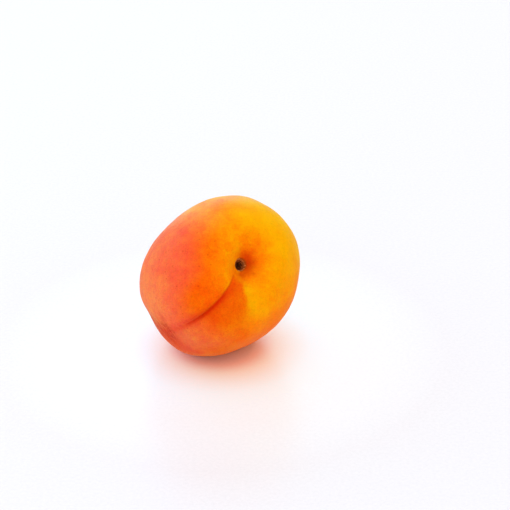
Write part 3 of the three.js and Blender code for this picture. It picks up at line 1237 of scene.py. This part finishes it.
@dataclass
class ScarFibres:
    """The broken fibres that stand in the pit of the scar.

    Attributes:
        scar: The scar that they stand in.
        count: How many there are.
        sides: Sides of each fibre.
        length: Usual length of a fibre.
        lengths: Shares of the usual length that the fibres are drawn from.
        radius: Radius at the foot.
        taper: Share of that radius at the end.
        off_turn: How far a fibre may stand from its even place in the ring, in radians.
        away: Distances from the scar's middle that the fibres are drawn from.
        lean: How far a fibre may lean, in radians.
        roll: How far a fibre may be rolled, in radians.
        lift: Height of the fibres' middles above the pit's floor.
        seed: Seed of the draws.
    """

    scar: StalkScar
    count: int = 13
    sides: int = 7
    length: float = 0.75
    lengths: tuple[float, float] = (0.6, 1.2)
    radius: float = 0.075
    taper: float = 0.35
    off_turn: float = 0.2
    away: tuple[float, float] = (0.15, 0.95)
    lean: float = 0.5
    roll: float = 3.0
    lift: float = 0.22
    seed: int = 31

    def build(self, skin: Skin, placement: Placement) -> bpy.types.Object:
        """Make the fibres.

        Args:
            skin: The skin that the scar sits in.
            placement: Where the fruit lies.

        Returns:
            One object that holds all the fibres.
        """
        draw = np.random.default_rng(self.seed)
        deselect()
        made = []
        for number in range(self.count):
            angle = 2.0 * math.pi * number / self.count + draw.uniform(-self.off_turn, self.off_turn)
            away = draw.uniform(*self.away)
            foot = Vector((math.cos(angle) * away, math.sin(angle) * away, 0.0))
            length = self.length * draw.uniform(*self.lengths)
            leans = draw.uniform(-self.lean, self.lean), draw.uniform(-self.lean, self.lean)
            bpy.ops.mesh.primitive_cone_add(
                vertices=self.sides,
                radius1=self.radius,
                radius2=self.radius * self.taper,
                depth=length,
                location=foot,
                rotation=(*leans, draw.uniform(0.0, self.roll)),
            )
            made.append(bpy.context.active_object)
        for fibre in made:
            fibre.select_set(True)
        bpy.ops.object.join()
        bpy.ops.object.transform_apply(location=True, rotation=True, scale=True)
        fibres = named("scar_fibres")
        own = coordinates(fibres)
        middle = self.scar.surface(np.array([NEAR_POLE]), np.zeros(1), skin)[0]
        own += middle + np.array([0.0, 0.0, self.scar.steps[-1].height + self.lift])
        move_vertices(fibres, placement.place(own))
        return fibres


@dataclass
class DryTip:
    """The hard dry point at the fruit's tip, with five low ridges."""

    radius: float = 0.5
    height: float = 0.9
    taper: float = 0.35
    ridges: int = 5
    ridge_height: float = 0.22
    wobble: float = 0.03
    wobble_rate: float = 11.0
    cuts: int = 3
    sink: float = 0.35
    near_tip: float = 1e-4

    def build(self, skin: Skin, placement: Placement) -> bpy.types.Object:
        """Make the point on the skin's tip.

        Args:
            skin: The skin whose tip carries the point.
            placement: Where the fruit lies.

        Returns:
            The point's object.
        """
        deselect()
        bpy.ops.mesh.primitive_cone_add(
            vertices=4 * self.ridges,
            radius1=self.radius,
            radius2=self.radius * self.taper,
            depth=self.height,
        )
        tip = named("dry_tip")
        bpy.ops.object.mode_set(mode="EDIT")
        bpy.ops.mesh.subdivide(number_cuts=self.cuts)
        bpy.ops.object.mode_set(mode="OBJECT")
        local = coordinates(tip)
        around = np.arctan2(local[:, 1], local[:, 0])
        ridge = 1.0 + self.ridge_height * np.cos(self.ridges * around)
        local[:, :2] *= ridge[:, None]
        local += self.wobble * np.sin(local[:, [1, 2, 0]] * self.wobble_rate)
        pole, _ = skin.shape(np.array([math.pi - self.near_tip]), np.array([0.0]))
        out = Vector(skin.body.directions(np.array([math.pi]), np.array([0.0]))[0])
        turn = np.array(out.to_track_quat("Z", "Y").to_matrix())
        own = (local + np.array([0.0, 0.0, self.height / 2.0 - self.sink])) @ turn.T + pole[0]
        move_vertices(tip, placement.place(own))
        bpy.ops.object.shade_smooth()
        return tip


def linear(red: int, green: int, blue: int) -> tuple[float, float, float, float]:
    """Return a colour given in display values, 0 to 255, as the shaders' linear colour.

    Args:
        red: Red's display value.
        green: Green's display value.
        blue: Blue's display value.

    Returns:
        The linear colour, with full opacity.
    """
    shares = [channel / 255.0 for channel in (red, green, blue)]
    bent = [share / 12.92 if share <= 0.04045 else ((share + 0.055) / 1.055) ** 2.4 for share in shares]
    return (bent[0], bent[1], bent[2], 1.0)


# Sockets of the colour mixer, which are found by number because their names repeat.
MIX_SHARE = 0
MIX_BELOW = 6
MIX_TINT = 7
MIXED = 2


class Mix(Enum):
    """How a tint is laid over the colour below it."""

    COVER = "MIX"
    DEEPEN = "MULTIPLY"
    LIFT = "ADD"


@dataclass(frozen=True)
class Grain:
    """Noise in space: millimetres between its spots, its detail and how rough that is."""

    spacing: float
    detail: float = 2.0
    rough: float = 0.5


@dataclass(frozen=True)
class Stretch:
    """A range of values, and the range that it is moved to."""

    low: float
    high: float
    to_low: float = 0.0
    to_high: float = 1.0


class Finish:
    """One material with its nodes, made by plain calls."""

    def __init__(self, name: str) -> None:
        """Start a material that holds only its output.

        Args:
            name: The material's name.
        """
        self.material = bpy.data.materials.new(name)
        self.material.use_nodes = True
        self.tree = self.material.node_tree
        self.tree.nodes.clear()
        self.output = self.tree.nodes.new("ShaderNodeOutputMaterial")

    def node(self, kind: str, **inputs: object) -> bpy.types.Node:
        """Add a node and set or link its inputs.

        Args:
            kind: The node's type, such as ShaderNodeTexNoise.
            inputs: Values or sockets by the input's name, with _ for a space.

        Returns:
            The node.
        """
        made = self.tree.nodes.new(kind)
        for name, value in inputs.items():
            self.feed(made.inputs[name.replace("_", " ")], value)
        return made

    def feed(self, socket: bpy.types.NodeSocket, value: object) -> None:
        """Link a socket to an input, or set the input's own value.

        Args:
            socket: The input.
            value: The socket to link, or the value to set.
        """
        if isinstance(value, bpy.types.NodeSocket):
            self.tree.links.new(value, socket)
        else:
            socket.default_value = value

    def place(self) -> bpy.types.NodeSocket:
        """Return the piece's own coordinates, in metres."""
        return self.node("ShaderNodeTexCoord").outputs["Object"]

    def mask(self, name: str) -> bpy.types.NodeSocket:
        """Return a number stored on the piece's vertices.

        Args:
            name: The name that the number was stored under.

        Returns:
            The number's socket.
        """
        reader = self.node("ShaderNodeAttribute")
        reader.attribute_name = name
        return reader.outputs["Fac"]

    def maths(self, operation: str, *values: object) -> bpy.types.NodeSocket:
        """Return the result of one step of arithmetic.

        Args:
            operation: The node's operation, such as ADD.
            values: Its numbers or sockets, in order.

        Returns:
            The result's socket.
        """
        step = self.node("ShaderNodeMath")
        step.operation = operation
        for socket, value in zip(step.inputs, values):
            self.feed(socket, value)
        return step.outputs[0]

    def grain(self, grain: Grain) -> bpy.types.NodeSocket:
        """Return noise from 0 to 1.

        Args:
            grain: How fine and how rough the noise is.

        Returns:
            The noise's socket.
        """
        noise = self.node("ShaderNodeTexNoise", Vector=self.place(), Scale=1.0 / (grain.spacing * MM))
        noise.inputs["Detail"].default_value = grain.detail
        noise.inputs["Roughness"].default_value = grain.rough
        return noise.outputs["Fac"]

    def stretched(self, value: bpy.types.NodeSocket, stretch: Stretch) -> bpy.types.NodeSocket:
        """Return a value moved from one range to another, and kept inside it.

        Args:
            value: The value's socket.
            stretch: The two ranges.

        Returns:
            The moved value's socket.
        """
        reach = self.node("ShaderNodeMapRange", Value=value, From_Min=stretch.low, From_Max=stretch.high)
        reach.inputs["To Min"].default_value = stretch.to_low
        reach.inputs["To Max"].default_value = stretch.to_high
        return reach.outputs[0]

    def tinted(
        self, below: object, tint: object, share: object, mix: Mix = Mix.COVER
    ) -> bpy.types.NodeSocket:
        """Return a colour with a tint laid over it.

        Args:
            below: The colour below.
            tint: The tint's colour.
            share: How much of the tint shows, from 0 to 1.
            mix: How the tint is laid on.

        Returns:
            The mixed colour.
        """
        blend = self.node("ShaderNodeMix")
        blend.data_type = "RGBA"
        blend.blend_type = mix.value
        self.feed(blend.inputs[MIX_SHARE], share)
        self.feed(blend.inputs[MIX_BELOW], below)
        self.feed(blend.inputs[MIX_TINT], tint)
        return blend.outputs[MIXED]

    def ramp(self, value: bpy.types.NodeSocket, stops: dict[float, tuple]) -> bpy.types.NodeSocket:
        """Return a colour read from a scale of colours.

        Args:
            value: The place on the scale, from 0 to 1.
            stops: The scale's colours by their places.

        Returns:
            The colour's socket.
        """
        scale = self.node("ShaderNodeValToRGB", Fac=value)
        elements = scale.color_ramp.elements
        while len(elements) > 1:
            elements.remove(elements[-1])
        for number, (position, color) in enumerate(stops.items()):
            stop = elements[0] if number == 0 else elements.new(position)
            stop.position = position
            stop.color = color
        return scale.outputs["Color"]

    def bump(self, height: object, depth: float, below: object = None) -> bpy.types.NodeSocket:
        """Return the surface's normal with a relief `depth` mm deep.

        Args:
            height: The relief, from 0 to 1.
            depth: How deep the relief is, in millimetres.
            below: A normal that the relief is laid on, if there is one.

        Returns:
            The normal's socket.
        """
        relief = self.node("ShaderNodeBump", Height=height, Distance=depth * MM)
        if below is not None:
            self.feed(relief.inputs["Normal"], below)
        return relief.outputs["Normal"]

    def finish(self, shader: bpy.types.Node) -> bpy.types.Material:
        """Link the shader to the output and return the material."""
        self.tree.links.new(shader.outputs[0], self.output.inputs["Surface"])
        return self.material


@dataclass(frozen=True)
class DownySkin:
    """Apricot skin: gold that reddens in the sun, satin under a short pale down."""

    palest: tuple = linear(251, 186, 1)
    gold: tuple = linear(251, 176, 1)
    orange: tuple = linear(252, 137, 1)
    red_orange: tuple = linear(249, 109, 2)
    scarlet: tuple = linear(246, 92, 3)
    crimson: tuple = linear(240, 75, 5)
    stops: tuple[float, ...] = (0.0, 0.08, 0.34, 0.62, 0.82, 1.0)
    # The pink of the cheek with painted sheen of the down.
    rose_and_sheen_lift: tuple = (0.0, 0.0, 0.24, 1.0)
    # Painted light: a lift of red on the side that the fruit lies on.
    painted_light_lift: tuple = (0.04, 0.0, 0.0, 1.0)
    # The crease's red, partly painted shade.
    seam_red_and_shade: tuple = linear(216, 36, 1)
    seam_line: tuple = linear(196, 74, 4)
    # Painted shade: the deep orange red of the cavity's wall.
    cavity_shade: tuple = linear(207, 62, 1)
    speck_red: tuple = linear(202, 44, 5)
    scar_edge: tuple = linear(190, 92, 18)
    tip_brown: tuple = linear(150, 78, 26)
    patch_red: tuple = linear(203, 50, 24)
    shade: tuple = linear(190, 190, 190)
    # Painted shade on the lobe below the suture.
    lobe_shade: tuple = linear(244, 249, 247)
    roughness: float = 0.55
    specular: float = 0.015
    sheen: float = 0.28
    sheen_roughness: float = 0.3
    sheen_tint: tuple = linear(255, 223, 150)
    subsurface: float = 0.35
    subsurface_scale: float = 3.0
    subsurface_bleed: tuple[float, float, float] = (1.0, 0.35, 0.1)
    down: Grain = Grain(0.34, 3.0, 0.7)
    down_depth: float = 0.07
    pores: Grain = Grain(1.3)
    pore_depth: float = 0.05
    mottle: Grain = Grain(2.4, 3.0, 0.6)
    mottle_swing: tuple[float, float] = (0.6, -0.3)
    mottle_calmed: tuple[float, float] = (-0.35, 1.0)
    nap: Grain = Grain(0.5, 3.0, 0.75)
    nap_swing: tuple[float, float] = (0.64, -0.32)
    loosened: Stretch = Stretch(0.05, 0.4, 0.15, 1.0)
    rosy: Grain = Grain(0.42, 3.0, 0.75)
    rosy_swing: tuple[float, float] = (1.6, 0.2)
    blotches: Grain = Grain(1.1, 3.0, 0.7)
    blotched: Stretch = Stretch(0.42, 0.58, 0.4, 1.0)
    cavity_shade_share: float = 0.95
    seam_line_share: float = 0.45
    fine_shadow: Grain = Grain(0.3, 2.0, 0.7)
    fine_shadow_share: Stretch = Stretch(0.4, 0.8, 0.0, 0.24)
    coarse_shadow: Grain = Grain(0.9, 2.0, 0.6)
    coarse_shadow_share: Stretch = Stretch(0.43, 0.78, 0.0, 0.2)
    speck_spacing: float = 1.5
    speck_size: Stretch = Stretch(0.06, 0.2, 1.0, 0.0)
    speck_chosen: Stretch = Stretch(0.4, 0.6, 0.0, 0.6)
    speck_on_red: Stretch = Stretch(0.28, 0.7)

    def material(self) -> bpy.types.Material:
        """Make the material.

        Returns:
            The material.
        """
        skin = Finish("downy_skin")
        shader = skin.node(
            "ShaderNodeBsdfPrincipled",
            Base_Color=self.color(skin),
            Roughness=self.roughness,
            Specular_IOR_Level=self.specular,
            Sheen_Weight=self.sheen,
            Sheen_Roughness=self.sheen_roughness,
            Sheen_Tint=self.sheen_tint,
            Subsurface_Weight=self.subsurface,
            Subsurface_Radius=self.subsurface_bleed,
            Subsurface_Scale=self.subsurface_scale * MM,
        )
        down = skin.grain(self.down)
        pores = skin.bump(skin.grain(self.pores), self.pore_depth)
        skin.feed(shader.inputs["Normal"], skin.bump(down, self.down_depth, pores))
        return skin.finish(shader)

    def color(self, skin: Finish) -> bpy.types.NodeSocket:
        """Return the skin's colour, from gold to crimson and with what lies on top.

        Args:
            skin: The finish that the nodes are added to.

        Returns:
            The colour's socket.
        """
        blush = skin.mask("blush")
        colors = (self.palest, self.gold, self.orange, self.red_orange, self.scarlet, self.crimson)
        loosened = skin.maths("ADD", blush, self.loosening(skin, blush))
        color = skin.ramp(loosened, dict(zip(self.stops, colors)))
        rosy = skin.maths("MULTIPLY_ADD", skin.grain(self.rosy), *self.rosy_swing)
        blotched = skin.stretched(skin.grain(self.blotches), self.blotched)
        layers = (
            (self.rose_and_sheen_lift, skin.maths("MULTIPLY", skin.mask("rose_and_sheen"), rosy), Mix.LIFT),
            (self.painted_light_lift, skin.mask("low_side_light"), Mix.LIFT),
            (self.lobe_shade, skin.mask("lobe_shade"), Mix.DEEPEN),
            (self.patch_red, skin.maths("MULTIPLY", skin.mask("tip_patch"), blotched), Mix.COVER),
            (self.cavity_shade, self.part_of(skin, "cavity", self.cavity_shade_share), Mix.COVER),
            (self.seam_red_and_shade, skin.mask("seam_red_and_shade"), Mix.COVER),
            (self.seam_line, self.part_of(skin, "seam_line", self.seam_line_share), Mix.COVER),
            (self.speck_red, self.specks(skin, blush), Mix.COVER),
            (self.shade, self.nap_shadow(skin), Mix.DEEPEN),
            (self.scar_edge, skin.mask("scar_edge"), Mix.COVER),
            (self.tip_brown, skin.mask("tip"), Mix.COVER),
        )
        for tint, share, mix in layers:
            color = skin.tinted(color, tint, share, mix)
        return color

    def loosening(self, skin: Finish, blush: bpy.types.NodeSocket) -> bpy.types.NodeSocket:
        """Return the mottle and nap that loosen the blush, calmest where it is palest.

        Args:
            skin: The finish that the nodes are added to.
            blush: How red the skin is.

        Returns:
            The change's socket.
        """
        # The mottle is calmer on the low side, read from the mask of its painted light.
        calm = skin.maths("MULTIPLY_ADD", skin.mask("low_side_light"), *self.mottle_calmed)
        mottle = skin.maths("MULTIPLY_ADD", skin.grain(self.mottle), *self.mottle_swing)
        mottle = skin.maths("MULTIPLY", mottle, calm)
        nap = skin.maths("MULTIPLY_ADD", skin.grain(self.nap), *self.nap_swing)
        uneven = skin.maths("ADD", mottle, nap)
        return skin.maths("MULTIPLY", uneven, skin.stretched(blush, self.loosened))

    def part_of(self, skin: Finish, mask: str, share: float) -> bpy.types.NodeSocket:
        """Return a share of what a mask holds."""
        return skin.maths("MULTIPLY", skin.mask(mask), share)

    def nap_shadow(self, skin: Finish) -> bpy.types.NodeSocket:
        """Return the fine uneven shadow that the down gives the skin, from 0 to 1.

        Args:
            skin: The finish that the nodes are added to.

        Returns:
            The shadow's socket.
        """
        fine = skin.stretched(skin.grain(self.fine_shadow), self.fine_shadow_share)
        coarse = skin.stretched(skin.grain(self.coarse_shadow), self.coarse_shadow_share)
        return skin.maths("ADD", fine, coarse)

    def specks(self, skin: Finish, blush: bpy.types.NodeSocket) -> bpy.types.NodeSocket:
        """Return the share of small darker specks, which only red skin has.

        Args:
            skin: The finish that the nodes are added to.
            blush: How red the skin is.

        Returns:
            The share's socket.
        """
        spacing = self.speck_spacing * MM
        cells = skin.node("ShaderNodeTexVoronoi", Vector=skin.place(), Scale=1.0 / spacing)
        round_spot = skin.stretched(cells.outputs["Distance"], self.speck_size)
        chosen = skin.stretched(cells.outputs["Color"], self.speck_chosen)
        on_red = skin.stretched(blush, self.speck_on_red)
        return skin.maths("MULTIPLY", skin.maths("MULTIPLY", round_spot, chosen), on_red)


@dataclass(frozen=True)
class Cork:
    """Dry corky tissue, pale on its rims and nearly black down in the pit."""

    name: str = "cork"
    black: tuple = linear(48, 18, 4)
    deep: tuple = linear(112, 52, 16)
    middle: tuple = linear(176, 92, 34)
    pale: tuple = linear(246, 158, 92)
    stops: tuple[float, ...] = (0.0, 0.25, 0.6, 1.0)
    grit: Grain = Grain(0.34, 3.0, 0.75)
    grit_swing: tuple[float, float] = (3.0, -1.55)
    relief: Grain = Grain(0.2, 4.0, 0.7)
    relief_depth: float = 0.12
    roughness: float = 0.85
    specular: float = 0.15

    def material(self) -> bpy.types.Material:
        """Make the material.

        Returns:
            The material.
        """
        cork = Finish(self.name)
        height = cork.mask("depth")
        grit = cork.maths("MULTIPLY_ADD", cork.grain(self.grit), *self.grit_swing)
        colors = (self.black, self.deep, self.middle, self.pale)
        shader = cork.node(
            "ShaderNodeBsdfPrincipled",
            Base_Color=cork.ramp(cork.maths("ADD", height, grit), dict(zip(self.stops, colors))),
            Normal=cork.bump(cork.grain(self.relief), self.relief_depth),
            Roughness=self.roughness,
            Specular_IOR_Level=self.specular,
        )
        return cork.finish(shader)


@dataclass(frozen=True)
class DryBrown:
    """Dry brown plant tissue, a little darker in its grain."""

    name: str
    light: tuple
    dark: tuple
    stops: tuple[float, float] = (0.35, 0.65)
    streaks: Grain = Grain(0.2, 4.0, 0.7)
    relief: Grain = Grain(0.12, 3.0, 0.7)
    relief_depth: float = 0.03
    roughness: float = 0.8
    specular: float = 0.2

    def material(self) -> bpy.types.Material:
        """Make the material.

        Returns:
            The material.
        """
        dry = Finish(self.name)
        colors = (self.dark, self.light)
        shader = dry.node(
            "ShaderNodeBsdfPrincipled",
            Base_Color=dry.ramp(dry.grain(self.streaks), dict(zip(self.stops, colors))),
            Normal=dry.bump(dry.grain(self.relief), self.relief_depth),
            Roughness=self.roughness,
            Specular_IOR_Level=self.specular,
        )
        return dry.finish(shader)


@dataclass(frozen=True)
class PalePaper:
    """Plain pale floor with an even matt surface, which glows a little round the fruit: painted light
    that lifts and warms the shadow there.
    """

    color: tuple = linear(241, 233, 231)
    other: tuple = linear(234, 226, 224)
    # Painted light: the floor's glow by distance from the fruit, which lifts and warms its shadow.
    glow_reach: float = 80.0
    glow: tuple[tuple[float, tuple[float, float, float, float]], ...] = (
        (9.0, (0.02, 0.0, 0.0, 1.0)),
        (11.5, (0.12, 0.02, 0.0, 1.0)),
        (15.6, (0.16, 0.17, 0.12, 1.0)),
        (20.0, (0.13, 0.21, 0.2, 1.0)),
        (26.0, (0.09, 0.23, 0.27, 1.0)),
        (40.0, (0.06, 0.12, 0.14, 1.0)),
        (64.0, (0.0, 0.01, 0.02, 1.0)),
    )
    fibre: Grain = Grain(0.9, 3.0, 0.75)
    fibre_share: Stretch = Stretch(0.32, 0.68)
    relief: Grain = Grain(0.9, 3.0)
    relief_depth: float = 0.012
    roughness: float = 0.3
    specular: float = 0.5

    def material(self) -> bpy.types.Material:
        """Make the material.

        Returns:
            The material.
        """
        paper = Finish("pale_paper")
        grainy = paper.stretched(paper.grain(self.fibre), self.fibre_share)
        shader = paper.node(
            "ShaderNodeBsdfPrincipled",
            Base_Color=paper.tinted(self.color, self.other, grainy),
            Normal=paper.bump(paper.grain(self.relief), self.relief_depth),
            Roughness=self.roughness,
            Specular_IOR_Level=self.specular,
            Emission_Strength=1.0,
        )
        stops = {away / self.glow_reach: light for away, light in self.glow}
        paper.feed(shader.inputs["Emission Color"], paper.ramp(self.away(paper), stops))
        return paper.finish(shader)

    def away(self, paper: Finish) -> bpy.types.NodeSocket:
        """Return the distance from the fruit, 1 at the glow's reach.

        Args:
            paper: The finish that the nodes are added to.

        Returns:
            The distance's socket.
        """
        length = paper.node("ShaderNodeVectorMath")
        length.operation = "LENGTH"
        paper.feed(length.inputs[0], paper.place())
        return paper.maths("DIVIDE", length.outputs["Value"], self.glow_reach * MM)


def dress(piece: bpy.types.Object, material: bpy.types.Material) -> None:
    """Give a piece one material."""
    piece.data.materials.clear()
    piece.data.materials.append(material)


@dataclass(frozen=True)
class Sky:
    """Soft light from all round, a little stronger or warmer towards some sides."""

    level: tuple = (0.78, 0.78, 0.78)
    above: tuple = (0.2, 0.2, 0.22)
    in_front: tuple = (0.5, 0.49, 0.49)
    low_right: tuple = (-0.02, -0.3, -0.95)
    behind: tuple = (0.27, 0.64, 1.15)
    behind_from: tuple[float, float, float] = (-0.42, 0.68, 0.6)
    right_span: tuple[float, float] = (-0.1, 0.45)
    front_span: tuple[float, float] = (0.3, -1.0)
    above_span: tuple[float, float] = (0.0, 1.0)
    low_span: tuple[float, float] = (0.9, 0.25)
    behind_span: tuple[float, float] = (0.42, 1.0)

    def build(self) -> None:
        """Make the world's light."""
        world = bpy.data.worlds.new("soft_sky")
        world.use_nodes = True
        self.tree_of(world)
        bpy.context.scene.world = world
        bpy.context.scene.view_settings.view_transform = "Standard"

    def tree_of(self, world: bpy.types.World) -> None:
        """Add the shares of each side to the level and feed the sum to the background.

        Args:
            world: The world whose nodes are made.
        """
        tree = world.node_tree
        place = tree.nodes.new("ShaderNodeTexCoord").outputs["Generated"]
        towards = tree.nodes.new("ShaderNodeSeparateXYZ")
        tree.links.new(place, towards.inputs[0])
        right = self.facing(tree, towards.outputs["X"], *self.right_span)
        low = self.facing(tree, towards.outputs["Z"], *self.low_span)
        both = tree.nodes.new("ShaderNodeMath")
        both.operation = "MULTIPLY"
        tree.links.new(right, both.inputs[0])
        tree.links.new(low, both.inputs[1])
        shares = (
            (self.facing(tree, towards.outputs["Z"], *self.above_span), self.above),
            (self.facing(tree, towards.outputs["Y"], *self.front_span), self.in_front),
            (both.outputs[0], self.low_right),
            (self.facing(tree, self.from_behind(tree, place), *self.behind_span), self.behind),
        )
        total = None
        for amount, share in shares:
            total = self.added(tree, total, amount, share)
        tree.links.new(total, tree.nodes["Background"].inputs["Color"])

    def from_behind(self, tree: bpy.types.NodeTree, place: bpy.types.NodeSocket) -> bpy.types.NodeSocket:
        """Return how far a direction points to the light from behind, from -1 to 1.

        Args:
            tree: The world's nodes.
            place: The direction's socket.

        Returns:
            The share's socket.
        """
        along = tree.nodes.new("ShaderNodeVectorMath")
        along.operation = "DOT_PRODUCT"
        tree.links.new(place, along.inputs[0])
        along.inputs[1].default_value = Vector(self.behind_from).normalized()
        return along.outputs["Value"]

    def added(
        self,
        tree: bpy.types.NodeTree,
        total: bpy.types.NodeSocket | None,
        amount: bpy.types.NodeSocket,
        share: tuple,
    ) -> bpy.types.NodeSocket:
        """Return the light so far, or the level at first, with one side's share added.

        Args:
            tree: The world's nodes.
            total: The light so far, or None at first.
            amount: How much of the side's share counts, from 0 to 1.
            share: The side's share of the light.

        Returns:
            The new total's socket.
        """
        step = tree.nodes.new("ShaderNodeVectorMath")
        step.operation = "MULTIPLY_ADD"
        tree.links.new(amount, step.inputs[0])
        step.inputs[1].default_value = share
        step.inputs[2].default_value = self.level
        if total is not None:
            tree.links.new(total, step.inputs[2])
        return step.outputs[0]

    def facing(
        self, tree: bpy.types.NodeTree, along: bpy.types.NodeSocket, none_at: float, full_at: float
    ) -> bpy.types.NodeSocket:
        """Return 0 to 1 as a direction's share along an axis goes from one value to another.

        Args:
            tree: The world's nodes.
            along: The direction's share along the axis.
            none_at: The share at which the result is 0.
            full_at: The share at which the result is 1.

        Returns:
            The result's socket.
        """
        reach = tree.nodes.new("ShaderNodeMapRange")
        tree.links.new(along, reach.inputs["Value"])
        reach.inputs["From Min"].default_value = none_at
        reach.inputs["From Max"].default_value = full_at
        return reach.outputs[0]


@dataclass
class Studio:
    """Pale floor, even sky and the camera."""

    floor_size: float = 6.0
    sky: Sky = Sky()
    aim: tuple[float, float, float] = (9.82, 2.5, 27.3)
    distance: float = 549.0
    elevation: float = 28.0
    sensor: float = 36.0
    focal_pixels: float = 1977.0
    frame_pixels: float = 510.0
    nearest: float = 0.01
    farthest: float = 20.0

    def build(self) -> None:
        """Set the whole studio up."""
        self.build_floor()
        self.sky.build()
        self.build_camera()

    def build_floor(self) -> None:
        """Lay the floor."""
        deselect()
        bpy.ops.mesh.primitive_plane_add(size=self.floor_size)
        floor = named("floor")
        dress(floor, PalePaper().material())

    def build_camera(self) -> None:
        """Stand the camera in front of the stem end and above it."""
        lens = bpy.data.cameras.new("camera")
        lens.sensor_width = self.sensor
        lens.lens = self.sensor * self.focal_pixels / self.frame_pixels
        lens.clip_start = self.nearest
        lens.clip_end = self.farthest
        camera = bpy.data.objects.new("camera", lens)
        rise = math.radians(self.elevation)
        back = Vector((0.0, -math.cos(rise), math.sin(rise)))
        camera.location = (Vector(self.aim) + back * self.distance) * MM
        camera.rotation_euler = (-back).to_track_quat("-Z", "Y").to_euler()
        bpy.context.collection.objects.link(camera)
        bpy.context.scene.camera = camera


def report(piece: bpy.types.Object) -> None:
    """Log a piece's name and size."""
    size = piece.dimensions / MM
    LOG.info("%s: %.1f x %.1f x %.1f mm, %d faces", piece.name, *size, len(piece.data.polygons))


def main() -> None:
    """Build the fruit and its studio."""
    logging.basicConfig(level=logging.INFO, format="%(name)s %(message)s")
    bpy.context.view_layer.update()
    form = Skin()
    skin, placement = form.build()
    dress(skin, DownySkin().material())
    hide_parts("apricot")

    scar_form = StalkScar()
    scar = scar_form.build(form, placement)
    dress(scar, Cork().material())
    fibres = ScarFibres(scar_form).build(form, placement)
    dress(fibres, DryBrown("scar_fibre", linear(104, 62, 28), linear(40, 20, 9)).material())
    tip = DryTip().build(form, placement)
    dress(tip, DryBrown("tip_dry", linear(158, 104, 54), linear(84, 46, 20)).material())
    for piece in (skin, scar, fibres, tip):
        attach(piece, "root")
        report(piece)

    Studio().build()


if __name__ == "__main__":
    main()
